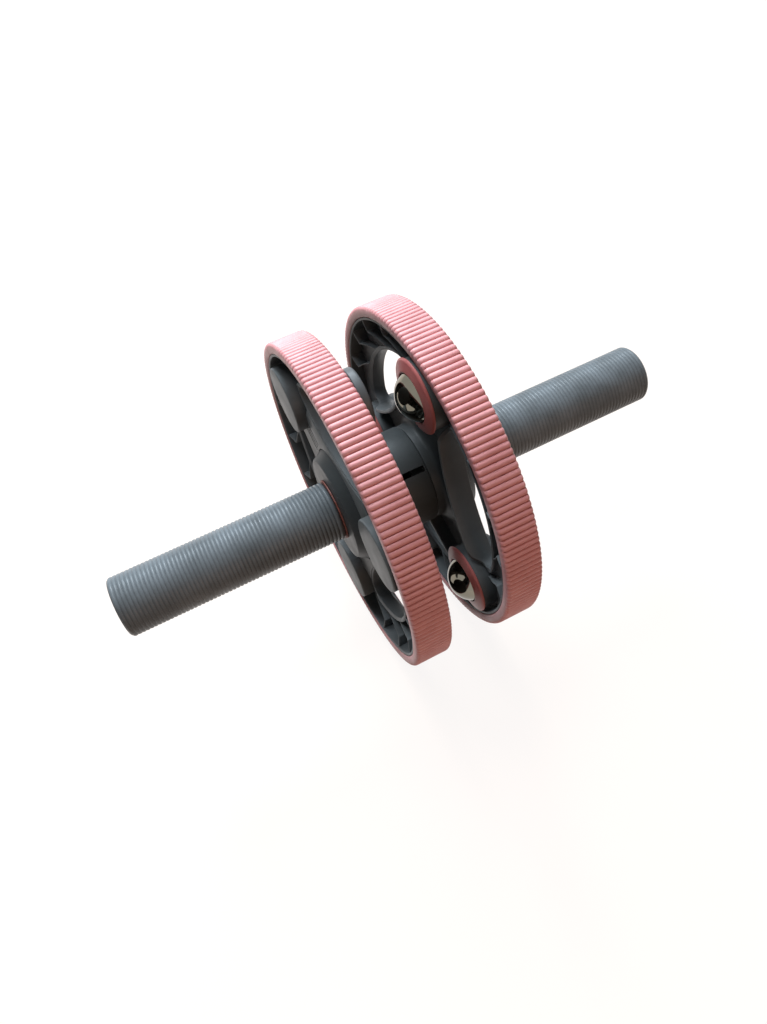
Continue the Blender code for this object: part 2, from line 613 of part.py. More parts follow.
def make_hub_cover(name, side):
    """Make the outer hub cover, a flat face on a cone that hides the outer bearing."""
    foot_x = WEB_OUTER_X + FIT_GAP
    under_x = HUB_COVER_FACE_X - HUB_COVER_THICKNESS
    wall = HUB_COVER_THICKNESS
    bore = SHOULDER_RADIUS + FIT_GAP
    profile = [(HUB_COVER_FACE_X, bore), (HUB_COVER_FACE_X, HUB_COVER_RADIUS - HUB_COVER_EDGE),
               (HUB_COVER_FACE_X - HUB_COVER_EDGE, HUB_COVER_RADIUS), (foot_x, HUB_COVER_FOOT_RADIUS),
               (foot_x, HUB_COVER_FOOT_RADIUS - wall), (under_x, HUB_COVER_RADIUS - wall), (under_x, bore)]
    return turned(name, profile, TURNED_SEGMENTS, side)


def make_core(name, side):
    """Make the steel handle core: a tube on a shoulder and a stub that runs in the bearings."""
    thread = SCREW_SHANK_RADIUS + FIT_GAP
    stub_start = INNER_BEARING_X
    thread_end = stub_start + SCREW_SHANK_LENGTH + FIT_GAP
    tube_start = CORE_START_X + CORE_SOLID_LENGTH
    bore = CORE_RADIUS - CORE_WALL
    profile = [(thread_end, 0.0), (thread_end, thread), (stub_start, thread), (stub_start, STUB_RADIUS),
               (SHOULDER_START_X, STUB_RADIUS), (SHOULDER_START_X, SHOULDER_RADIUS),
               (CORE_START_X, SHOULDER_RADIUS), (CORE_START_X, CORE_RADIUS), (CORE_END_X, CORE_RADIUS),
               (CORE_END_X, bore), (tube_start, bore), (tube_start, 0.0)]
    return turned(name, profile, TURNED_SEGMENTS, side)


def make_grip(name, side):
    """Make the soft sleeve over the core."""
    bore = CORE_RADIUS + FIT_GAP
    rounding = GRIP_END_ROUNDING
    profile = [(CORE_START_X, bore), (CORE_START_X, GRIP_RADIUS - rounding),
               (CORE_START_X + rounding, GRIP_RADIUS), (HANDLE_END_X - rounding, GRIP_RADIUS),
               (HANDLE_END_X, GRIP_RADIUS - rounding), (HANDLE_END_X, bore)]
    return turned(name, profile, TURNED_SEGMENTS, side)


def make_plug(name, side):
    """Make the plug that closes the handle's end."""
    head_start = HANDLE_END_X - PLUG_HEAD_HEIGHT
    shank = CORE_RADIUS - CORE_WALL - FIT_GAP
    shank_end = head_start - PLUG_SHANK_LENGTH
    profile = [(shank_end, 0.0), (shank_end, shank), (head_start, shank), (head_start, CORE_RADIUS),
               (HANDLE_END_X, CORE_RADIUS), (HANDLE_END_X, 0.0)]
    return turned(name, profile, TURNED_SEGMENTS, side)


def make_grip_washer(name, side):
    """Make the thin ring between the hub cover and the grip."""
    end_x = GRIP_WASHER_X + GRIP_WASHER_THICKNESS
    bore = SHOULDER_RADIUS + FIT_GAP
    profile = [(GRIP_WASHER_X, bore), (GRIP_WASHER_X, GRIP_WASHER_RADIUS), (end_x, GRIP_WASHER_RADIUS),
               (end_x, bore)]
    return turned(name, profile, TURNED_SEGMENTS, side)


def make_axle_washer(name, side):
    """Make the washer that keeps the inner bearing on the stub."""
    end_x = INNER_BEARING_X - FIT_GAP
    start_x = end_x - AXLE_WASHER_THICKNESS
    bore = SCREW_SHANK_RADIUS + FIT_GAP
    profile = [(start_x, bore), (start_x, AXLE_WASHER_RADIUS), (end_x, AXLE_WASHER_RADIUS), (end_x, bore)]
    return turned(name, profile, CASTER_SEGMENTS, side)


def make_axle_screw(name, side):
    """Make the socket-head screw that holds the washer on the stub."""
    head_end = INNER_BEARING_X - 2 * FIT_GAP - AXLE_WASHER_THICKNESS
    head_start = head_end - SCREW_HEAD_HEIGHT
    shank_end = INNER_BEARING_X + SCREW_SHANK_LENGTH
    profile = [(head_start, 0.0), (head_start, SCREW_HEAD_RADIUS), (head_end, SCREW_HEAD_RADIUS),
               (head_end, SCREW_SHANK_RADIUS), (shank_end, SCREW_SHANK_RADIUS), (shank_end, 0.0)]
    screw = turned(name, profile, SMALL_SEGMENTS, side)
    socket_start = head_start - SCREW_SOCKET_DEPTH
    socket_end = head_start + SCREW_SOCKET_DEPTH
    socket_profile = [(socket_start, 0.0), (socket_start, SCREW_SOCKET_RADIUS),
                      (socket_end, SCREW_SOCKET_RADIUS), (socket_end, 0.0)]
    return combine(screw, turned("socket", socket_profile, 6, side), "DIFFERENCE")


def make_fixing_screw(name, degrees, side):
    """Make one of the small screws that hold a half of the coupling to its frame."""
    start_x = WEB_OUTER_X + FIT_GAP
    head_x = start_x + FIXING_HEAD_HEIGHT
    tip_x = start_x - FIXING_SCREW_LENGTH
    profile = [(head_x, 0.0), (head_x, FIXING_HEAD_RADIUS), (start_x, FIXING_HEAD_RADIUS),
               (start_x, FIXING_SCREW_RADIUS), (tip_x, FIXING_SCREW_RADIUS), (tip_x, 0.0)]
    return turned(name, profile, SMALL_SEGMENTS, side, polar(FIXING_CIRCLE_RADIUS, degrees))


def fixing_holes(side):
    """Make the cutter for the fixing screws' holes, blind in the coupling and open in the frame."""
    holes = []
    radius = FIXING_SCREW_RADIUS + FIT_GAP
    end_x = WEB_OUTER_X + FIT_GAP - FIXING_SCREW_LENGTH - FIXING_HOLE_SPARE
    for at in fold_angles(CASTER_ANGLE_MADE_DEG):
        profile = [(end_x, 0.0), (end_x, radius), (HUB_TUBE_END_X, radius), (HUB_TUBE_END_X, 0.0)]
        holes.append(turned("hole", profile, SMALL_SEGMENTS, side, polar(FIXING_CIRCLE_RADIUS, at)))
    return join("holes", holes)


def make_spigot(name, wheel_turn_deg):
    """Make the inner half of the coupling: a tube with three lugs, seated in the right collar."""
    flange_start = SLEEVE_END_X - SLEEVE_DEPTH + FIT_GAP
    profile = [(SPIGOT_START_X, SLEEVE_BORE_RADIUS), (SPIGOT_START_X, SPIGOT_RADIUS),
               (flange_start, SPIGOT_RADIUS), (flange_start, SLEEVE_RADIUS), (SLEEVE_END_X, SLEEVE_RADIUS),
               (SLEEVE_END_X, SLEEVE_BORE_RADIUS)]
    spigot = turned(name, profile)
    for at in fold_angles(TOOTH_CENTRE_DEG - wheel_turn_deg):
        outline = ring_sector(SPIGOT_RADIUS - SPIGOT_WALL / 2, LUG_RADIUS, at, LUG_SPAN_DEG)
        lug = extruded("lug", outline, SPIGOT_START_X + FIT_GAP, SPIGOT_START_X + LUG_WIDTH)
        combine(spigot, lug, "UNION")
    return combine(spigot, fixing_holes(1), "DIFFERENCE")


def make_drum(name, wheel_turn_deg):
    """Make the outer half of the coupling: the drum with teeth, stops and slots, on the left half."""
    base_x = -DRUM_END_X + SLEEVE_DEPTH
    profile = [(-SLEEVE_END_X, SLEEVE_BORE_RADIUS), (-SLEEVE_END_X, SLEEVE_RADIUS),
               (-DRUM_END_X, SLEEVE_RADIUS), (-DRUM_END_X, DRUM_RADIUS), (DRUM_END_X, DRUM_RADIUS),
               (DRUM_END_X, DRUM_BORE_RADIUS), (base_x, DRUM_BORE_RADIUS), (base_x, SLEEVE_BORE_RADIUS)]
    drum = turned(name, profile, TURNED_SEGMENTS)
    outer = DRUM_RADIUS - DRUM_WALL / 2
    for at in fold_angles(TOOTH_CENTRE_DEG - wheel_turn_deg):
        tooth = extruded("tooth", ring_sector(TOOTH_BORE_RADIUS, outer, at, TOOTH_SPAN_DEG), TOOTH_START_X,
                         DRUM_END_X - FIT_GAP)
        combine(drum, tooth, "UNION")
        gap_deg = math.degrees(BALL_GAP / SPIGOT_RADIUS)
        stop_deg = at - LUG_SPAN_DEG / 2 - gap_deg - STOP_SPAN_DEG / 2
        stop = extruded("stop", ring_sector(TOOTH_BORE_RADIUS, outer, stop_deg, STOP_SPAN_DEG, 2),
                        SPIGOT_START_X, TOOTH_START_X + FIT_GAP)
        combine(drum, stop, "UNION")
    slot_end = SEAM_X - SLOT_FROM_SEAM
    half = SLOT_WIDTH / 2
    slots = []
    for at in fold_angles(SLOT_ANGLE_DEG - wheel_turn_deg):
        outline = [(TOOTH_BORE_RADIUS, -half), (2 * DRUM_RADIUS, -half), (2 * DRUM_RADIUS, half),
                   (TOOTH_BORE_RADIUS, half)]
        slots.append(extruded("slot", rotated(outline, at), slot_end - SLOT_LENGTH, slot_end))
    combine(drum, join("slots", slots), "DIFFERENCE")
    return combine(drum, fixing_holes(-1), "DIFFERENCE")


def paint(obj, material):
    """Give an object its only material."""
    obj.data.materials.clear()
    obj.data.materials.append(material)
    for polygon in obj.data.polygons:
        polygon.material_index = 0


def add_piece(piece, material, parent):
    """Paint a piece and put it under its parent."""
    paint(piece, material)
    piece.parent = parent


def make_half(word, side, wheel, materials):
    """Make everything that both halves have, each piece as its own object."""
    pieces = (
        ("tyre", make_tyre, "tyre"),
        ("frame", make_left_frame if word == "left" else make_frame, "frame"),
        ("hub_cover", make_hub_cover, "frame"),
        ("handle_core", make_core, "steel"),
        ("grip", make_grip, "grip"),
        ("end_plug", make_plug, "plug"),
        ("grip_washer", make_grip_washer, "washer"),
        ("axle_washer", make_axle_washer, "steel"),
        ("axle_screw", make_axle_screw, "steel"),
    )
    for kind, maker, slot in pieces:
        add_piece(maker(f"{kind}_{word}", side), materials[slot], wheel)
    # a groove stays at the tread's lowest line, however far round the frame is turned
    bpy.data.objects[f"tyre_{word}"].rotation_euler.x = -wheel.rotation_euler.x
    for place, start_x in (("inner", INNER_BEARING_X), ("outer", OUTER_BEARING_X)):
        add_piece(make_bearing(f"bearing_{place}_{word}", start_x, side), materials["steel"], wheel)


def make_circle_of(kinds, side, radius, first_deg, wheel, materials):
    """Make three of each kind of piece on a circle about the axle."""
    for number, degrees in enumerate(fold_angles(first_deg), 1):
        for kind, maker, slot in kinds:
            piece = maker(f"{kind}_{number}", side)
            piece.location.y, piece.location.z = polar(radius, degrees)
            add_piece(piece, materials[slot], wheel)


def make_coupling(wheels, turns, materials):
    """Make the bayonet coupling and its screws, on the wheels that carry them."""
    add_piece(make_drum("coupling_drum", turns["left"]), materials["frame"], wheels["left"])
    add_piece(make_spigot("coupling_spigot", turns["right"]), materials["frame"], wheels["right"])
    for kind, side, word in (("drum_screw", -1, "left"), ("spigot_screw", 1, "right")):
        for number, degrees in enumerate(fold_angles(CASTER_ANGLE_MADE_DEG), 1):
            add_piece(make_fixing_screw(f"{kind}_{number}", degrees, side), materials["steel"], wheels[word])


def make_wheel_empty(word, turn_deg):
    """Make the empty on the axle that turns one half to its place."""
    wheel = bpy.data.objects.new(f"wheel_line_{word}", None)
    bpy.context.scene.collection.objects.link(wheel)
    wheel.location = (0.0, 0.0, AXLE_HEIGHT)
    wheel.rotation_euler.x = math.radians(turn_deg)
    return wheel


def main():
    """Build the whole object."""
    clear_scene()
    materials = {
        "tyre": make_material("tyre_pink", TYRE_PINK, 0.55, 0.0),
        "cap": make_material("cap_pink", CAP_PINK, 0.40, 0.0),
        "frame": make_material("frame_grey", FRAME_GREY, 0.45, 0.0),
        "grip": make_material("grip_grey", GRIP_GREY, 0.60, 0.0),
        "seat": make_material("seat_white", SEAT_WHITE, 0.40, 0.0),
        "pad": make_material("pad_grey", PAD_GREY, 0.50, 0.0),
        "plug": make_material("plug_grey", PLUG_GREY, 0.50, 0.0),
        "steel": make_material("steel", STEEL, 0.30, 1.0),
        "chrome": make_material("chrome", CHROME, 0.06, 1.0),
        "washer": make_material("washer_brown", WASHER_BROWN, 0.55, 0.0),
    }
    turns = {
        "left": CASTER_ANGLE_LEFT_DEG - CASTER_ANGLE_MADE_DEG,
        "right": CASTER_ANGLE_RIGHT_DEG - CASTER_ANGLE_MADE_DEG,
    }
    wheels = {word: make_wheel_empty(word, turn) for word, turn in turns.items()}
    make_half("left", -1, wheels["left"], materials)
    make_half("right", 1, wheels["right"], materials)
    pads = (("foot_pad", make_pad, "pad"),)
    casters = (("caster_cap", make_cap, "cap"), ("caster_ball", make_ball, "chrome"),
               ("caster_seat", make_seat, "seat"))
    window_deg = CASTER_ANGLE_MADE_DEG + 180.0 / REPEATS_PER_WHEEL
    make_circle_of(pads, -1, PAD_CIRCLE_RADIUS, window_deg, wheels["left"], materials)
    make_circle_of(casters, 1, CASTER_CIRCLE_RADIUS, CASTER_ANGLE_MADE_DEG, wheels["right"], materials)
    make_coupling(wheels, turns, materials)


main()
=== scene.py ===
"""Ab wheel dressed for its picture: ribbed tyres, ribbed grips, moulded frames and chrome balls."""

import json
import math

import bmesh
import bpy
from mathutils import Matrix, Vector


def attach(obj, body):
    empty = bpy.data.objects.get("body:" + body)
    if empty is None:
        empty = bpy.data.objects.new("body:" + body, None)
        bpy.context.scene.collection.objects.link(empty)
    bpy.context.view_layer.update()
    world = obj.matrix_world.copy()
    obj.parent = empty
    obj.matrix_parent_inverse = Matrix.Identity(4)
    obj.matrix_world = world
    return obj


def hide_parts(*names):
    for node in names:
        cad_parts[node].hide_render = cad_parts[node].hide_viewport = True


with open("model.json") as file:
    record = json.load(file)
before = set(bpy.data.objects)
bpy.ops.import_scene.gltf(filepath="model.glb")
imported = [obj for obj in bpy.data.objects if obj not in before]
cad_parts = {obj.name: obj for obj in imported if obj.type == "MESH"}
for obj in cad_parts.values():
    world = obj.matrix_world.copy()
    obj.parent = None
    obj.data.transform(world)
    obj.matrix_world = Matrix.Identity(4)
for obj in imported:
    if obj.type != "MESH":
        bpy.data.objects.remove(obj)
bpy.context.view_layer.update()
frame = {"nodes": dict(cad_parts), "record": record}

# Sizes shared with the CAD, in metres; every x is counted outward from the middle plane
AXLE_HEIGHT = 0.0949855
WHEEL_RADIUS = 0.0950
WHEEL_INNER_X = 0.0156
WHEEL_OUTER_X = 0.0354
TYRE_BORE = 0.0893
TREAD_RIBS = 180
GRIP_INNER_X = 0.0372
GRIP_OUTER_X = 0.1595
GRIP_RADIUS = 0.0167
GRIP_BORE = 0.0127
RIM_RADIUS = 0.0890
RIM_INNER_X = 0.0162
RIM_OUTER_X = 0.0348
WEB_INNER_X = 0.0240
WEB_OUTER_X = 0.0270
WINDOW_OUTER_RADIUS = 0.0690
WINDOW_CHORD_RADIUS = 0.1000
WINDOW_CHORD_CENTRE = 0.1390
WINDOW_CORNER_RADIUS = 0.0060
WINDOW_WALL = 0.0025
CASTER_CIRCLE_RADIUS = 0.0665
PAD_CIRCLE_RADIUS = 0.0750
HOUSING_RADIUS = 0.0190
HOUSING_BORE = 0.0165
HOUSING_FRONT_X = 0.0159
HOUSING_END_X = 0.0360
HOUSING_FLOOR = 0.0014
BALL_RADIUS = 0.0140
BALL_X = 0.0190

# Places round the axle, in degrees, where 0 is +Y and 90 is up
TURN = {"left": 48.5, "right": -6.6}
SIDE = {"left": -1, "right": 1}
FOLDS = (90.0, 210.0, 330.0)
HALF_FOLD = 60.0
POCKET_RIBS = (-24.5, -5.5, 13.5, 32.5)
DRUM_SLOTS = (113.0, 233.0, 353.0)

# Sizes of the picture alone, in metres: finer than the CAD's, or a little off them
TREAD_DEPTH = 0.00125
GRIP_RIBS = 55
GRIP_RIB_DEPTH = 0.00085
RIM_THICKNESS = 0.0015
RIM_LIP = 0.0010
WEB_BORE = 0.0290
WEB_RADIUS = 0.0880
INNER_DISH = 0.0054
OUTER_DISH = 0.0050
INNER_DISH_STEP = 0.0002
OUTER_DISH_STEP = 0.0003
WALL_EDGE = 0.0006
WEB_UNDER_WALL = 0.0004
RIB_EDGE = 0.0003
RIB_HALF_WIDTH = 0.0006
PLATEAU_X = 0.0300
PLATEAU_RADIUS = 0.0334
PLATEAU_EDGE = 0.0005
PLATEAU_ROOT = 0.0005
GROOVES = (-0.0050, 0.0, 0.0050)
GROOVE_HALF_WIDTH = 0.0009
GROOVE_START = 0.0350
GROOVE_END = 0.0530
GROOVE_DEPTH = 0.0022

# Segments round the turned pieces
RIM_SEGMENTS = 240
DRUM_SEGMENTS = 192
HUB_SEGMENTS = 160
GRIP_SEGMENTS = 128
CASTER_SEGMENTS = 96

# Modelling tolerances and the reach of the cutting tools
MERGE_DISTANCE = 1e-7
ON_AXIS = 1e-6
TOOL_REACH = 0.05
SHARP_DEG = 30.0
RIBBED_SHARP_DEG = 60.0
BEVEL_FROM_DEG = 40.0

# Turned profiles as closed rows of corners (x, radius, fillet), in metres
RIM_PROFILE = (
    (RIM_INNER_X, RIM_RADIUS - RIM_THICKNESS, 0.0008), (RIM_INNER_X, RIM_RADIUS, 0.0004),
    (RIM_OUTER_X, RIM_RADIUS, 0.0004), (RIM_OUTER_X, RIM_RADIUS - RIM_THICKNESS, 0.0008),
)
HOUSING_PROFILE = (
    (HOUSING_FRONT_X, HOUSING_BORE, 0.0003), (HOUSING_FRONT_X, HOUSING_RADIUS, 0.0005),
    (HOUSING_END_X, HOUSING_RADIUS, 0.0010), (HOUSING_END_X, 0.0, 0.0),
    (HOUSING_END_X - HOUSING_FLOOR, 0.0, 0.0), (HOUSING_END_X - HOUSING_FLOOR, HOUSING_BORE, 0.0),
)
HUB_PROFILE = (
    (0.0135, 0.0243, 0.0003), (0.0135, 0.0275, 0.0005), (0.0190, 0.0278, 0.0040),
    (WEB_INNER_X, 0.0350, 0.0030), (WEB_INNER_X + 0.001, 0.0350, 0.0),
    (WEB_OUTER_X, 0.0330, 0.0), (WEB_OUTER_X, 0.0172, 0.0), (0.0330, 0.0172, 0.0003),
    (0.0330, 0.0143, 0.0003), (0.0180, 0.0143, 0.0), (0.0180, 0.0172, 0.0),
    (0.0200, 0.0172, 0.0), (0.0200, 0.0243, 0.0),
)
NECK_PROFILE = (
    (0.0121, 0.0, 0.0), (0.0121, 0.0035, 0.0003), (0.0148, 0.0035, 0.0),
    (0.0148, 0.0070, 0.0006), (0.0255, 0.0070, 0.0), (0.0255, 0.0, 0.0),
)
PAD_PROFILE = (
    (0.0100, 0.0, 0.0), (0.0100, 0.0155, 0.0012), (0.0145, 0.0155, 0.0006),
    (0.0145, 0.0038, 0.0002), (0.0118, 0.0038, 0.0), (0.0118, 0.0, 0.0),
)
HUB_COVER_PROFILE = (
    (0.0360, 0.0093, 0.0002), (0.0360, 0.0290, 0.0012), (0.0273, 0.0345, 0.0004),
    (0.0273, 0.0318, 0.0), (0.0333, 0.0263, 0.0), (0.0333, 0.0093, 0.0),
)
CAP_PROFILE = (
    (0.0129, 0.0130, 0.0002), (0.0129, 0.0139, 0.0004), (0.0142, 0.0191, 0.0008),
    (0.0149, 0.0200, 0.0006), (0.0156, 0.0200, 0.0002), (0.0156, 0.0162, 0.0),
    (0.0176, 0.0162, 0.0), (0.0176, 0.0146, 0.0), (0.0156, 0.0146, 0.0),
)
DRUM_PROFILE = (
    (-0.0197, 0.0182, 0.0), (-0.0197, 0.0240, 0.0), (-0.0132, 0.0240, 0.0),
    (-0.0132, 0.0280, 0.0004), (0.0132, 0.0280, 0.0004), (0.0132, 0.0247, 0.0003),
    (-0.0072, 0.0247, 0.0), (-0.0072, 0.0182, 0.0),
)


# Points and meshes

def srgb(red, green, blue):
    """Turn display values from 0 to 255 into a linear colour."""
    linear = []
    for value in (red, green, blue):
        part = value / 255.0
        linear.append(part / 12.92 if part <= 0.04045 else ((part + 0.055) / 1.055) ** 2.4)
    return (*linear, 1.0)


def polar(radius, degrees):
    """Give the (y, z) point at a radius and an angle about the axle."""
    angle = math.radians(degrees)
    return radius * math.cos(angle), radius * math.sin(angle)


def turned_points(points, degrees):
    """Turn (y, z) points about the axle."""
    cosine, sine = math.cos(math.radians(degrees)), math.sin(math.radians(degrees))
    return [(y * cosine - z * sine, y * sine + z * cosine) for y, z in points]


def between(first, second, share):
    """Give the (y, z) point at a share of the way from one point to another."""
    return tuple(a + (b - a) * share for a, b in zip(first, second))


def box_outline(start, end, middle, half_width):
    """Outline a rectangle that runs along +Y, as (y, z) points."""
    return [(start, middle - half_width), (end, middle - half_width),
            (end, middle + half_width), (start, middle + half_width)]


def round_drop(place, power):
    """Give how far a rounded rib has dropped at a place from -1 to 1 across it, as a share of 1."""
    return 1.0 - math.sqrt(max(0.0, 1.0 - abs(place) ** power))


def filleted(corners, steps=5, side_share=0.49):
    """Round the corners (x, radius, fillet) of a closed profile, each within its sides' halves."""
    points = []
    count = len(corners)
    for index, (x, r, fillet) in enumerate(corners):
        here = Vector((x, r))
        if fillet <= 0.0:
            points.append((x, r))
            continue
        before = Vector(corners[index - 1][:2]) - here
        after = Vector(corners[(index + 1) % count][:2]) - here
        half = before.angle(after) / 2
        reach = min(fillet / math.tan(half), before.length * side_share, after.length * side_share)
        start = here + before.normalized() * reach
        end = here + after.normalized() * reach
        radius = reach * math.tan(half)
        inward = (before.normalized() + after.normalized()).normalized()
        centre = here + inward * (radius / math.sin(half))
        first = start - centre
        turn = first.angle_signed(end - centre)
        for step in range(steps + 1):
            angle = -turn * step / steps
            cosine, sine = math.cos(angle), math.sin(angle)
            points.append((centre.x + first.x * cosine - first.y * sine,
                           centre.y + first.x * sine + first.y * cosine))
    return points


def lathe(profile, segments, centre=(0.0, 0.0)):
    """Spin a closed profile of (x, radius) points about the X axis through centre (y, z)."""
    verts, rings, faces = [], [], []
    for x, r in profile:
        if r < ON_AXIS:
            rings.append([len(verts)] * segments)
            verts.append((x, centre[0], centre[1]))
            continue
        rings.append(list(range(len(verts), len(verts) + segments)))
        for step in range(segments):
            angle = 2.0 * math.pi * step / segments
            verts.append((x, centre[0] + r * math.cos(angle), centre[1] + r * math.sin(angle)))
    for index, ring in enumerate(rings):
        other = rings[(index + 1) % len(rings)]
        for step in range(segments):
            following = (step + 1) % segments
            corners = []
            for vert in (ring[step], ring[following], other[following], other[step]):
                if vert not in corners:
                    corners.append(vert)
            if len(corners) > 2:
                faces.append(corners)
    return verts, faces


def caster_lathe(profile, centre):
    """Spin a profile of (x, radius, fillet) corners about a caster's or a pad's own axis."""
    return lathe(filleted(profile), CASTER_SEGMENTS, centre)


def prism(outline, starts, end_x):
    """Extrude an outline of (y, z) points along X, from one x or one for every point, to an x."""
    count = len(outline)
    if not isinstance(starts, list):
        starts = [starts] * count
    verts = [(x, *point) for x, point in zip(starts, outline)]
    verts += [(end_x, *point) for point in outline]
    faces = [list(range(count)), list(range(2 * count - 1, count - 1, -1))]
    for index in range(count):
        following = (index + 1) % count
        faces.append([following, index, index + count, following + count])
    return verts, faces


def ring_faces(stations, count):
    """Join closed sections of count points, listed one after the other round a ring."""
    faces = []
    for station in range(stations):
        near = station * count
        far = ((station + 1) % stations) * count
        for index in range(count):
            following = (index + 1) % count
            faces.append((near + index, far + index, far + following, near + following))
    return faces


# Objects

def linked(name, data):
    """Make an object of a mesh, lamp or camera and put it in the scene."""
    obj = bpy.data.objects.new(name, data)
    bpy.context.scene.collection.objects.link(obj)
    return obj


def smooth(obj, sharp_deg=SHARP_DEG):
    """Shade an object smooth and keep its edges above an angle sharp."""
    obj.data.shade_smooth()
    obj.data.set_sharp_from_angle(angle=math.radians(sharp_deg))


def bake(obj):
    """Apply an object's modifiers."""
    depsgraph = bpy.context.evaluated_depsgraph_get()
    mesh = bpy.data.meshes.new_from_object(obj.evaluated_get(depsgraph))
    obj.modifiers.clear()
    obj.data = mesh


def make_object(name, data, side=1, turn_deg=0.0, bevel=0.0, sharp_deg=SHARP_DEG):
    """Make an object from (verts, faces) about the axle, mirrored, turned and put in place."""
    verts, faces = data
    mesh = bpy.data.meshes.new(name)
    mesh.from_pydata(verts, [], faces)
    bm = bmesh.new()
    bm.from_mesh(mesh)
    bmesh.ops.remove_doubles(bm, verts=bm.verts, dist=MERGE_DISTANCE)
    mirror = Matrix.Diagonal((side, 1.0, 1.0, 1.0))
    turned = Matrix.Rotation(math.radians(turn_deg), 4, "X") @ mirror
    place = Matrix.Translation((0.0, 0.0, AXLE_HEIGHT)) @ turned
    bmesh.ops.transform(bm, matrix=place, verts=bm.verts)
    bmesh.ops.recalc_face_normals(bm, faces=bm.faces)
    bm.to_mesh(mesh)
    bm.free()
    obj = linked(name, mesh)
    if bevel:
        modifier = obj.modifiers.new("edges", "BEVEL")
        modifier.width = bevel
        modifier.segments = 2
        modifier.limit_method = "ANGLE"
        modifier.angle_limit = math.radians(BEVEL_FROM_DEG)
        bake(obj)
    smooth(obj, sharp_deg)
    return obj


def cut(obj, tool):
    """Cut one object with another and remove the tool."""
    modifier = obj.modifiers.new("cut", "BOOLEAN")
    modifier.operation = "DIFFERENCE"
    modifier.solver = "EXACT"
    modifier.object = tool
    bake(obj)
    bpy.data.objects.remove(tool, do_unlink=True)


def merged(name, objects):
    """Put several objects' meshes into one object."""
    bm = bmesh.new()
    for obj in objects:
        bm.from_mesh(obj.data)
    for obj in objects:
        bpy.data.objects.remove(obj, do_unlink=True)
    mesh = bpy.data.meshes.new(name)
    bm.to_mesh(mesh)
    bm.free()
    return linked(name, mesh)


# Materials

def add(tree, kind, **values):
    """Add a node and set its properties and inputs by name."""
    node = tree.nodes.new(kind)
    for key, value in values.items():
        if hasattr(node, key):
            setattr(node, key, value)
        else:
            node.inputs[key.replace("_", " ")].default_value = value
    return node


def start_material(name, metallic=0.0):
    """Make a material and give its tree, its shader and its object coordinates."""
    material = bpy.data.materials.new(name)
    material.use_nodes = True
    tree = material.node_tree
    shader = tree.nodes["Principled BSDF"]
    shader.inputs["Metallic"].default_value = metallic
    places = tree.nodes.new("ShaderNodeTexCoord").outputs["Object"]
    return material, tree, shader, places


def noise(tree, places, scale, detail, roughness):
    """Add a noise texture on the object's own coordinates."""
    node = add(tree, "ShaderNodeTexNoise", Scale=scale, Detail=detail, Roughness=roughness)
    tree.links.new(places, node.inputs["Vector"])
    return node.outputs["Fac"]


def ramp(tree, value, stops):
    """Map a value through colour stops of (position, colour)."""
    node = tree.nodes.new("ShaderNodeValToRGB")
    elements = node.color_ramp.elements
    while len(elements) < len(stops):
        elements.new(0.5)
    for element, (position, colour) in zip(elements, stops):
        element.position = position
        element.color = colour
    tree.links.new(value, node.inputs["Fac"])
    return node.outputs["Color"]


def edge_mask(tree, start, end):
    """Map the surface's pointiness, which is 0.5 on flat ground, through two stops."""
    geometry = tree.nodes.new("ShaderNodeNewGeometry")
    return ramp(tree, geometry.outputs["Pointiness"], (start, end))


def spread(tree, value, low, high):
    """Map a noise value, which lies mostly in 0.25..0.75, to low..high."""
    node = tree.nodes.new("ShaderNodeMapRange")
    node.inputs["From Min"].default_value = 0.25
    node.inputs["From Max"].default_value = 0.75
    node.inputs["To Min"].default_value = low
    node.inputs["To Max"].default_value = high
    tree.links.new(value, node.inputs["Value"])
    return node.outputs["Result"]


def mixed(tree, factor, first, second, blend="MIX"):
    """Mix two colours; each may be a value or a socket."""
    node = tree.nodes.new("ShaderNodeMix")
    node.data_type = "RGBA"
    node.blend_type = blend
    sockets = (node.inputs[0], node.inputs[6], node.inputs[7])
    for socket, value in zip(sockets, (factor, first, second)):
        if isinstance(value, bpy.types.NodeSocket):
            tree.links.new(value, socket)
        else:
            socket.default_value = value
    return node.outputs[2]


def bumped(tree, shader, heights):
    """Chain bump maps of (height socket, strength, distance) into the shader's normal."""
    normal = None
    for height, strength, distance in heights:
        node = add(tree, "ShaderNodeBump", Strength=strength, Distance=distance)
        tree.links.new(height, node.inputs["Height"])
        if normal is not None:
            tree.links.new(normal, node.inputs["Normal"])
        normal = node.outputs["Normal"]
    tree.links.new(normal, shader.inputs["Normal"])


BLACK = (0, 0, 0, 1)
WHITE = (1, 1, 1, 1)
WORN = (0.55, 0.55, 0.55, 1)
# Tint of the painted shade in the rubber's grooves and low places
GROOVE_SHADE_TINT = (0.42, 0.34, 0.34, 1.0)
PATCH_HEIGHT = 0.0002


def moulded(name, colour, lighter, rough, edge=None, shine=0.20):
    """Moulded plastic: cloudy colour, fine grain and, with an edge colour, paler worn edges."""
    material, tree, shader, places = start_material(name)
    shader.inputs["Specular IOR Level"].default_value = shine
    cloud = noise(tree, places, scale=38.0, detail=4.0, roughness=0.6)
    colour_out = ramp(tree, cloud, ((0.30, colour), (0.72, lighter)))
    if edge is not None:
        worn = edge_mask(tree, (0.52, BLACK), (0.60, WORN))
        colour_out = mixed(tree, worn, colour_out, edge)
    tree.links.new(colour_out, shader.inputs["Base Color"])
    grains = noise(tree, places, scale=1600.0, detail=2.0, roughness=0.5)
    patches = noise(tree, places, scale=90.0, detail=3.0, roughness=0.5)
    roughness = spread(tree, patches, rough - 0.06, rough + 0.08)
    tree.links.new(roughness, shader.inputs["Roughness"])
    bumped(tree, shader, ((patches, 0.15, PATCH_HEIGHT), (grains, 0.35, 0.00006)))
    return material


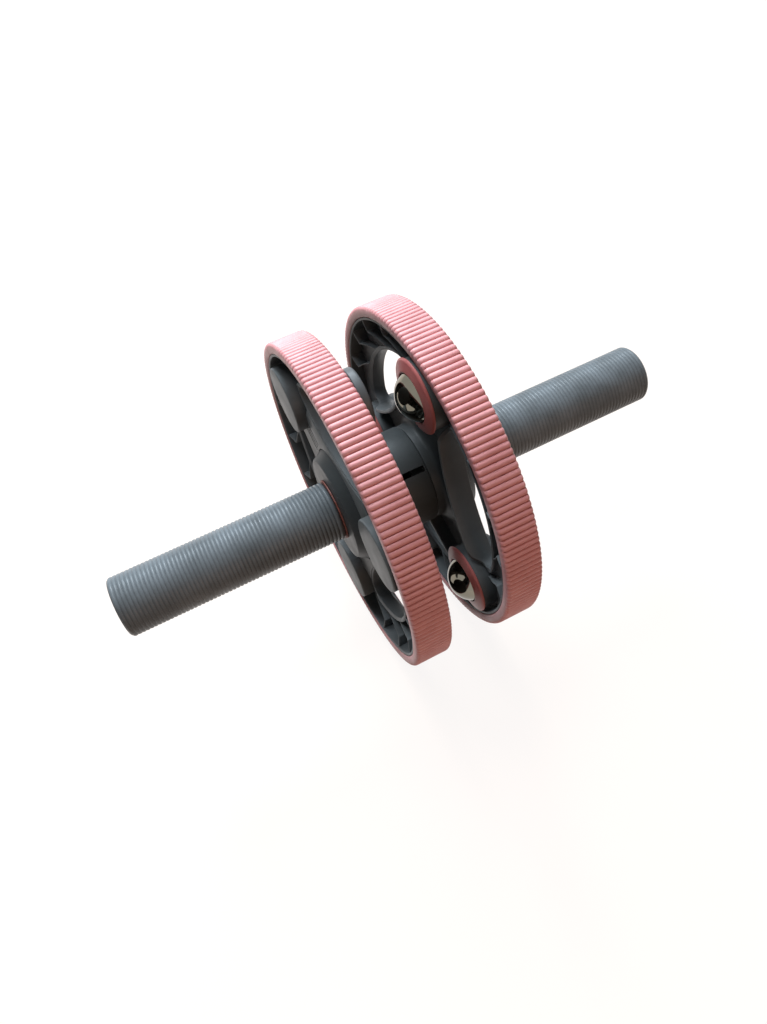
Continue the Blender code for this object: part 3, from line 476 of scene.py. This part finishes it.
def rubber(name, colour, lighter, darker, rough, grain, depth, shine=0.40):
    """Soft rubber: mottled colour, painted shade in the grooves and low places, and a fine skin."""
    material, tree, shader, places = start_material(name)
    cloud = noise(tree, places, scale=55.0, detail=5.0, roughness=0.65)
    body = ramp(tree, cloud, ((0.28, darker), (0.50, colour), (0.75, lighter)))
    # Painted shade: the low places, found by pointiness, are darkened by the groove shade tint
    low = edge_mask(tree, (0.40, WHITE), (0.49, BLACK))
    shaded = mixed(tree, low, body, mixed(tree, 1.0, body, GROOVE_SHADE_TINT, "MULTIPLY"))
    tree.links.new(shaded, shader.inputs["Base Color"])
    skin = noise(tree, places, scale=grain, detail=3.0, roughness=0.6)
    patches = noise(tree, places, scale=140.0, detail=2.0, roughness=0.5)
    roughness = spread(tree, patches, rough - 0.07, rough + 0.07)
    tree.links.new(roughness, shader.inputs["Roughness"])
    shader.inputs["Specular IOR Level"].default_value = shine
    bumped(tree, shader, ((patches, 0.2, PATCH_HEIGHT), (skin, 0.5, depth)))
    return material


def metal(name, colour, rough, streak_scale, depth):
    """Turned or polished metal with fine marks round its axis."""
    material, tree, shader, places = start_material(name, metallic=1.0)
    mapping = tree.nodes.new("ShaderNodeMapping")
    mapping.inputs["Scale"].default_value = streak_scale
    tree.links.new(places, mapping.inputs["Vector"])
    streaks = noise(tree, mapping.outputs["Vector"], scale=60.0, detail=4.0, roughness=0.6)
    smears = noise(tree, places, scale=120.0, detail=3.0, roughness=0.6)
    dark = tuple(part * 0.82 for part in colour[:3]) + (1.0,)
    colour_out = ramp(tree, streaks, ((0.3, dark), (0.7, colour)))
    tree.links.new(colour_out, shader.inputs["Base Color"])
    roughness = spread(tree, smears, max(rough - 0.03, 0.02), rough + 0.05)
    tree.links.new(roughness, shader.inputs["Roughness"])
    bumped(tree, shader, ((streaks, 0.12, depth),))
    return material


# The record's material slots, and dark_frame for the parts that the photo shows darker
MATERIALS = {
    "tyre": rubber("pink_rubber", srgb(209, 146, 147), srgb(219, 158, 159), srgb(197, 133, 133),
                   rough=0.42, grain=1500.0, depth=0.00005, shine=0.30),
    "cap": moulded("pink_plastic", srgb(168, 92, 90), srgb(182, 106, 102), rough=0.36),
    "frame": moulded("grey_plastic", srgb(92, 96, 97), srgb(104, 108, 110), rough=0.40,
                     edge=srgb(122, 127, 130), shine=0.09),
    "dark_frame": moulded("dark_grey_plastic", srgb(50, 53, 54), srgb(60, 64, 65), rough=0.40,
                          edge=srgb(74, 78, 80), shine=0.12),
    "grip": rubber("grey_foam_rubber", srgb(98, 105, 109), srgb(110, 118, 123), srgb(84, 90, 93),
                   rough=0.36, grain=2600.0, depth=0.00006, shine=0.18),
    "seat": moulded("white_plastic", srgb(205, 205, 198), srgb(216, 216, 208), rough=0.40),
    "pad": moulded("pad_plastic", srgb(74, 77, 79), srgb(86, 90, 92), rough=0.42),
    "plug": moulded("dark_plastic", srgb(66, 70, 72), srgb(78, 82, 84), rough=0.50),
    "steel": metal("turned_steel", srgb(176, 178, 180), rough=0.28,
                   streak_scale=(14.0, 1.0, 1.0), depth=0.00004),
    # Painted reflection: the chrome's colour is dimmed and warmed to stand for darker, brownish
    # surroundings mirrored in the balls
    "chrome": metal("chrome", srgb(128, 124, 112), rough=0.06,
                    streak_scale=(1.0, 1.0, 1.0), depth=0.00001),
    "washer": rubber("brown_rubber", srgb(120, 66, 56), srgb(136, 78, 66), srgb(104, 56, 48),
                     rough=0.55, grain=1800.0, depth=0.00005),
}


def dress(obj, slot, body, *nodes, finish=None):
    """Give a piece the material of its slot or finish, put it under its body and hide the CAD nodes
    that it stands for.
    """
    obj.data.materials.append(MATERIALS[finish or slot])
    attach(obj, body)
    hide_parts(*nodes)
    return obj


# Tyres and grips

def tread_section(steps=7):
    """Give the tyre's closed section, ready for the ribs.

    Each point is (x, radius, inward x, inward radius, the groove's depth there as a share of 1).
    """
    chamfer, shoulder, flank = 0.0006, 0.0017, 0.0008
    first_share, share_rise = 0.25, 1.6
    section = [
        (WHEEL_INNER_X + chamfer, TYRE_BORE, 0.0, 0.0, 0.0),
        (WHEEL_INNER_X, TYRE_BORE + chamfer, 0.0, 0.0, 0.0),
        (WHEEL_INNER_X, WHEEL_RADIUS - shoulder - flank, 0.0, 0.0, 0.0),
    ]
    for step in range(steps + 1):
        angle = math.radians(90.0) * step / steps
        x = WHEEL_INNER_X + shoulder - shoulder * math.cos(angle)
        r = WHEEL_RADIUS - shoulder + shoulder * math.sin(angle)
        share = min(1.0, first_share + share_rise * step / steps)
        section.append((x, r, math.cos(angle), -math.sin(angle), share))
    both = WHEEL_INNER_X + WHEEL_OUTER_X
    back = [(both - x, r, -inward_x, inward_r, share)
            for x, r, inward_x, inward_r, share in reversed(section)]
    return section + [(both / 2, WHEEL_RADIUS, 0.0, -1.0, 1.0)] + back


def tyre_mesh():
    """Make the tyre with close half-round ribs that round off at both shoulders."""
    section = tread_section()
    places = (-1.0, -0.93, -0.80, -0.60, -0.32, 0.0, 0.32, 0.60, 0.80, 0.93)
    pitch = 2.0 * math.pi / TREAD_RIBS
    verts = []
    for rib in range(TREAD_RIBS):
        for place in places:
            angle = -math.pi / 2 + pitch * (rib + 0.5 + place / 2)
            drop = round_drop(place, 2.0)
            for x, r, inward_x, inward_r, share in section:
                sunk = TREAD_DEPTH * share * drop
                radius = r + inward_r * sunk
                verts.append((x + inward_x * sunk,
                              radius * math.cos(angle), radius * math.sin(angle)))
    return verts, ring_faces(TREAD_RIBS * len(places), len(section))


def grip_mesh():
    """Make the grip: a sleeve with rounded rings close to each other."""
    plain_end, end_drop, roundness = 0.0006, 0.0010, 3.0
    places = (-0.92, -0.75, -0.40, 0.0, 0.40, 0.75, 0.92)
    pitch = (GRIP_OUTER_X - GRIP_INNER_X - 2 * plain_end) / GRIP_RIBS
    profile = [(GRIP_INNER_X, GRIP_BORE), (GRIP_INNER_X, GRIP_RADIUS - end_drop)]
    for rib in range(GRIP_RIBS):
        middle = GRIP_INNER_X + plain_end + (rib + 0.5) * pitch
        for place in places:
            drop = GRIP_RIB_DEPTH * round_drop(place, roundness)
            profile.append((middle + place * pitch / 2, GRIP_RADIUS - drop))
    profile += [(GRIP_OUTER_X, GRIP_RADIUS - end_drop), (GRIP_OUTER_X, GRIP_BORE)]
    return lathe(profile, GRIP_SEGMENTS)


# Frame

def arc(centre, radius, first, last, steps):
    """Give the (y, z) points of an arc from one angle to another, in degrees."""
    points = []
    for index in range(steps + 1):
        y, z = polar(radius, first + (last - first) * index / steps)
        points.append((centre[0] + y, centre[1] + z))
    return points


def window_outline(grow=0.0, steps=28, corner_steps=9):
    """Outline a window about the +Y direction, with rounded corners, grown by a distance."""
    rim_reach = WINDOW_OUTER_RADIUS - WINDOW_CORNER_RADIUS
    chord_reach = WINDOW_CHORD_RADIUS - WINDOW_CORNER_RADIUS
    along = (rim_reach**2 - chord_reach**2 + WINDOW_CHORD_CENTRE**2) / (2 * WINDOW_CHORD_CENTRE)
    across = math.sqrt(rim_reach**2 - along**2)
    rim_half = math.degrees(math.atan2(across, along))
    chord_half = math.degrees(math.atan2(across, WINDOW_CHORD_CENTRE - along))
    chord_start, chord_end = 180.0 - chord_half, 180.0 + chord_half
    corner = WINDOW_CORNER_RADIUS + grow
    outline = arc((0.0, 0.0), WINDOW_OUTER_RADIUS + grow, -rim_half, rim_half, steps)
    outline += arc((along, across), corner, rim_half, chord_start, corner_steps)[1:-1]
    outline += arc((WINDOW_CHORD_CENTRE, 0.0), WINDOW_CHORD_RADIUS + grow, chord_start, chord_end,
                   steps)
    outline += arc((along, -across), corner, chord_end, 360.0 - rim_half, corner_steps)[1:-1]
    return outline


def dished(radius, inner):
    """Give the x of the walls' and ribs' sloping top at a radius, on the inner or outer side."""
    slope_start = RIM_RADIUS - RIM_LIP
    share = min(1.0, max(0.0, (slope_start - radius) / (slope_start - WINDOW_OUTER_RADIUS)))
    if not inner:
        return RIM_OUTER_X - OUTER_DISH_STEP - OUTER_DISH * share
    level_radius, ease_width, curve = 0.0560, 0.0080, 1.5
    ease = min(1.0, max(0.0, (radius - level_radius) / ease_width))
    ease = ease * ease * (3.0 - 2.0 * ease)
    return RIM_INNER_X + INNER_DISH_STEP + INNER_DISH * share**curve * ease


def window_wall(degrees):
    """Make the wall round one window: a band whose edges are rounded and follow the dish."""
    bend_share = 0.3
    verts = []
    inside = window_outline()
    for inner, outer in zip(inside, window_outline(grow=WINDOW_WALL)):
        near, far = (dished(math.hypot(*inner), True), dished(math.hypot(*inner), False))
        near_out, far_out = (dished(math.hypot(*outer), True), dished(math.hypot(*outer), False))
        top_in = between(inner, outer, WALL_EDGE / WINDOW_WALL)
        top_out = between(outer, inner, WALL_EDGE / WINDOW_WALL)
        bend = between(inner, top_in, bend_share)
        section = (
            (near + WALL_EDGE, inner), (near + bend_share * WALL_EDGE, bend), (near, top_in),
            (near_out, top_out), (near_out + WALL_EDGE, outer),
            (far_out - WALL_EDGE, outer), (far_out, top_out),
            (far, top_in), (far - bend_share * WALL_EDGE, bend), (far - WALL_EDGE, inner),
        )
        for x, point in section:
            verts.append((x, *turned_points([point], degrees)[0]))
    return verts, ring_faces(len(inside), len(section))


def pocket_rib(centre_deg, inner):
    """Make one bent rib whose top follows the dish, from (radius, lean in degrees) stations."""
    stations = ((0.0876, 0.2), (0.0845, -0.8), (0.0814, -1.8), (0.0807, -1.7), (0.0799, -0.8),
                (0.0760, 3.9), (0.0703, 10.6))
    below_wall, root = 0.0003, 0.001
    outline, tops = [], []
    for sign in (-1, 1):
        for radius, lean in stations[::-sign]:
            half_deg = math.degrees(RIB_HALF_WIDTH / radius)
            outline.append(polar(radius, centre_deg + lean + sign * half_deg))
            tops.append(dished(radius, inner) + (below_wall if inner else -below_wall))
    base = WEB_INNER_X + root if inner else WEB_OUTER_X - root
    return prism(outline, tops, base)


def spoke_edge(steps=24):
    """Give one side of a spoke about the +Y direction, from its tip to the middle of a window."""
    reach = WINDOW_CHORD_RADIUS + WINDOW_WALL / 2
    centre_y, centre_z = polar(WINDOW_CHORD_CENTRE, HALF_FOLD)
    tip, root = 0.0520, 0.0192
    edge = []
    for step in range(steps + 1):
        y = tip - (tip - root) * step / steps
        edge.append((y, centre_z - math.sqrt(reach**2 - (y - centre_y) ** 2)))
    return edge


def spider(build):
    """Make the three-armed plateau with its round opening for the hub and its grooves."""
    edge = spoke_edge()
    other_edge = [(y, -z) for y, z in edge[::-1]]
    outline = []
    for at in FOLDS:
        outline += turned_points(other_edge, at) + turned_points(edge, at)
    plate = prism(outline, WEB_OUTER_X - PLATEAU_ROOT, PLATEAU_X)
    arms = build("spider", plate, bevel=PLATEAU_EDGE)
    opening = lathe([(0.0, 0.0), (0.0, PLATEAU_RADIUS), (TOOL_REACH, PLATEAU_RADIUS),
                     (TOOL_REACH, 0.0)], HUB_SEGMENTS)
    cut(arms, build("opening", opening))
    groove_start_x, groove_end_x = PLATEAU_X - GROOVE_DEPTH, PLATEAU_X + 0.0020
    for at in FOLDS:
        for across in GROOVES:
            outline = box_outline(GROOVE_START, GROOVE_END, across, GROOVE_HALF_WIDTH)
            bar = prism(turned_points(outline, at), groove_start_x, groove_end_x)
            cut(arms, build("groove", bar))
    smooth(arms)
    return arms


def web_disc(build):
    """Make the flat disc between rim and hub, with its three windows."""
    ring = lathe([(WEB_INNER_X, WEB_BORE), (WEB_INNER_X, WEB_RADIUS), (WEB_OUTER_X, WEB_RADIUS),
                  (WEB_OUTER_X, WEB_BORE)], RIM_SEGMENTS)
    web = build("web", ring)
    for at in FOLDS:
        outline = turned_points(window_outline(grow=WEB_UNDER_WALL), at + HALF_FOLD)
        cut(web, build("window", prism(outline, 0.0, TOOL_REACH)))
    smooth(web)
    return web


def frame_parts(side, turn):
    """Make the pieces of one frame; the hub's faces take the second material."""
    def build(name, data, **options):
        return make_object(name, data, side=side, turn_deg=turn, **options)

    parts = [build("rim", lathe(filleted(RIM_PROFILE), RIM_SEGMENTS)), web_disc(build)]
    for at in FOLDS:
        parts.append(build("wall", window_wall(at + HALF_FOLD)))
        for offset in POCKET_RIBS:
            for inner in (True, False):
                rib = pocket_rib(at + HALF_FOLD + offset, inner)
                parts.append(build("rib", rib, bevel=RIB_EDGE))
        housing = caster_lathe(HOUSING_PROFILE, polar(CASTER_CIRCLE_RADIUS, at))
        parts.append(build("housing", housing))
    parts.append(spider(build))
    hub = build("hub", lathe(filleted(HUB_PROFILE), HUB_SEGMENTS))
    for polygon in hub.data.polygons:
        polygon.material_index = 1
    parts.append(hub)
    return parts


def necks(side, turn):
    """Make the necks that carry the left frame's foot pads."""
    made = []
    for at in FOLDS:
        data = caster_lathe(NECK_PROFILE, polar(PAD_CIRCLE_RADIUS, at + HALF_FOLD))
        made.append(make_object("neck", data, side=side, turn_deg=turn))
    return made


# Balls and drum

def ball_mesh(centre, steps=48):
    """Make a ball as a lathe whose poles lie along the axle's direction."""
    profile = []
    for step in range(steps):
        angle = math.pi * step / steps
        profile.append((BALL_X - BALL_RADIUS * math.cos(angle), BALL_RADIUS * math.sin(angle)))
    profile.append((BALL_X - BALL_RADIUS * math.cos(math.pi), 0.0))
    return lathe(profile, CASTER_SEGMENTS, centre)


def drum_shell():
    """Make the coupling drum's shell with the part inside the collar and its three slots."""
    profile = filleted(DRUM_PROFILE)
    drum = make_object("drum_shell", lathe(profile, DRUM_SEGMENTS), turn_deg=TURN["left"])
    slot = box_outline(start=0.0214, end=0.0560, middle=0.0, half_width=0.0016)
    slot_start_x, slot_end_x = -0.0020, 0.0122
    for at in DRUM_SLOTS:
        tool = prism(turned_points(slot, at), slot_start_x, slot_end_x)
        cut(drum, make_object("slot", tool))
    smooth(drum)
    return drum


# The dressed pieces

for word in ("left", "right"):
    side, turn = SIDE[word], TURN[word]
    wheel, handle = f"{word}_wheel", f"{word}_handle"
    tyre = make_object(f"tyre_skin_{word}", tyre_mesh(), side=side, sharp_deg=RIBBED_SHARP_DEG)
    dress(tyre, "tyre", wheel, f"tyre_{word}")
    shell = frame_parts(side, turn)
    if word == "left":
        shell += necks(side, turn)
    shell = dress(merged(f"frame_shell_{word}", shell), "frame", wheel, f"frame_{word}")
    shell.data.materials.append(MATERIALS["dark_frame"])
    cover = lathe(filleted(HUB_COVER_PROFILE), HUB_SEGMENTS)
    cover = make_object(f"hub_face_{word}", cover, side=side)
    dress(cover, "frame", wheel, f"hub_cover_{word}", finish="dark_frame")
    grip = make_object(f"grip_ribs_{word}", grip_mesh(), side=side, sharp_deg=RIBBED_SHARP_DEG)
    dress(grip, "grip", handle, f"grip_{word}")

for number, at in enumerate(FOLDS, 1):
    centre = polar(CASTER_CIRCLE_RADIUS, at)
    side, turn = SIDE["right"], TURN["right"]
    ring = make_object(f"caster_ring_{number}", caster_lathe(CAP_PROFILE, centre),
                       side=side, turn_deg=turn)
    dress(ring, "cap", "right_wheel", f"caster_cap_{number}")
    ball = make_object(f"caster_sphere_{number}", ball_mesh(centre), side=side, turn_deg=turn)
    dress(ball, "chrome", f"ball_{number}", f"caster_ball_{number}")
    centre = polar(PAD_CIRCLE_RADIUS, at + HALF_FOLD)
    side, turn = SIDE["left"], TURN["left"]
    pad = make_object(f"foot_pad_face_{number}", caster_lathe(PAD_PROFILE, centre),
                      side=side, turn_deg=turn)
    dress(pad, "pad", "left_wheel", f"foot_pad_{number}")

dress(drum_shell(), "frame", "left_wheel", "coupling_drum", finish="dark_frame")

# The CAD pieces that show themselves
for name, obj in frame["nodes"].items():
    for entry in frame["record"]["subparts"]:
        if entry["node"] == name:
            obj.data.materials.clear()
            obj.data.materials.append(MATERIALS[entry["material_slot"]])


# Floor, light and camera

def seen_directly(tree):
    """Give 1 for rays that show the background: camera, mirror and see-through rays."""
    path = tree.nodes.new("ShaderNodeLightPath")
    total = path.outputs["Is Camera Ray"]
    for name in ("Is Glossy Ray", "Is Transmission Ray"):
        either = add(tree, "ShaderNodeMath", operation="MAXIMUM")
        tree.links.new(total, either.inputs[0])
        tree.links.new(path.outputs[name], either.inputs[1])
        total = either.outputs[0]
    return total


def area_light(name, place, size, power, colour):
    """Put a soft light of (width, height) at a place, aimed at the object."""
    data = bpy.data.lights.new(name, "AREA")
    data.energy = power
    data.shape = "RECTANGLE"
    data.size, data.size_y = size
    data.color = colour
    lamp = linked(name, data)
    lamp.location = place
    aim = Vector((0.0, 0.0, AXLE_HEIGHT)) - Vector(place)
    lamp.rotation_mode = "QUATERNION"
    lamp.rotation_quaternion = aim.to_track_quat("-Z", "Y")


FLOOR_REACH = 3
FLOOR_GLOW = 0.88
floor_corners = [(-FLOOR_REACH, -FLOOR_REACH, 0), (FLOOR_REACH, -FLOOR_REACH, 0),
                 (FLOOR_REACH, FLOOR_REACH, 0), (-FLOOR_REACH, FLOOR_REACH, 0)]
floor_mesh = bpy.data.meshes.new("floor")
floor_mesh.from_pydata(floor_corners, [], [(0, 1, 2, 3)])
floor = linked("floor", floor_mesh)
floor_material, floor_tree, floor_shader = start_material("pale_floor")[:3]
floor_shader.inputs["Base Color"].default_value = srgb(112, 94, 80)
floor_shader.inputs["Roughness"].default_value = 0.7
floor_glow = add(floor_tree, "ShaderNodeEmission")
floor_share = add(floor_tree, "ShaderNodeMath", operation="MULTIPLY")
floor_share.inputs[1].default_value = FLOOR_GLOW
floor_tree.links.new(seen_directly(floor_tree), floor_share.inputs[0])
floor_tree.links.new(floor_share.outputs[0], floor_glow.inputs["Strength"])
floor_sum = floor_tree.nodes.new("ShaderNodeAddShader")
floor_tree.links.new(floor_shader.outputs[0], floor_sum.inputs[0])
floor_tree.links.new(floor_glow.outputs[0], floor_sum.inputs[1])
floor_tree.links.new(floor_sum.outputs[0], floor_tree.nodes["Material Output"].inputs["Surface"])
floor_mesh.materials.append(floor_material)

area_light("key", place=(-0.14, 0.50, 1.10), size=(0.6, 0.35), power=7.5, colour=(0.88, 0.94, 1.0))
area_light("back", place=(0.06, 1.00, 0.74), size=(0.60, 0.50), power=26.0,
           colour=(0.83, 0.92, 1.0))
area_light("warm", place=(0.05, -0.9, 0.60), size=(0.5, 0.5), power=2.6, colour=(1.0, 0.58, 0.36))

# The world lights the object weakly, and is white where it is seen or mirrored
world = bpy.data.worlds.new("studio")
bpy.context.scene.world = world
world.use_nodes = True
tree = world.node_tree
background = tree.nodes["Background"]
background.inputs["Color"].default_value = (0.92, 0.95, 1.0, 1.0)
background.inputs["Strength"].default_value = 0.05
white = add(tree, "ShaderNodeBackground", Strength=1.0)
white.inputs["Color"].default_value = (1.0, 1.0, 1.0, 1.0)
choose = tree.nodes.new("ShaderNodeMixShader")
tree.links.new(seen_directly(tree), choose.inputs[0])
tree.links.new(background.outputs[0], choose.inputs[1])
tree.links.new(white.outputs[0], choose.inputs[2])
tree.links.new(choose.outputs[0], tree.nodes["World Output"].inputs["Surface"])

# The camera as solved on the photo's wheel circles and axle
camera_data = bpy.data.cameras.new("camera")
camera_data.lens = 26.42
camera_data.sensor_width = 36.0
camera_data.sensor_fit = "AUTO"
camera_data.clip_start = 0.01
camera = linked("camera", camera_data)
right = Vector((0.89057, -0.45484, 0.0))
up = Vector((0.41565, 0.81385, 0.40606))
back = Vector((-0.18469, -0.36163, 0.91384))
pose = Matrix((right, up, back)).transposed().to_4x4()
pose.translation = (-0.08923, -0.16265, 0.37644 + AXLE_HEIGHT)
camera.matrix_world = pose
bpy.context.scene.camera = camera
bpy.context.scene.view_settings.view_transform = "Standard"
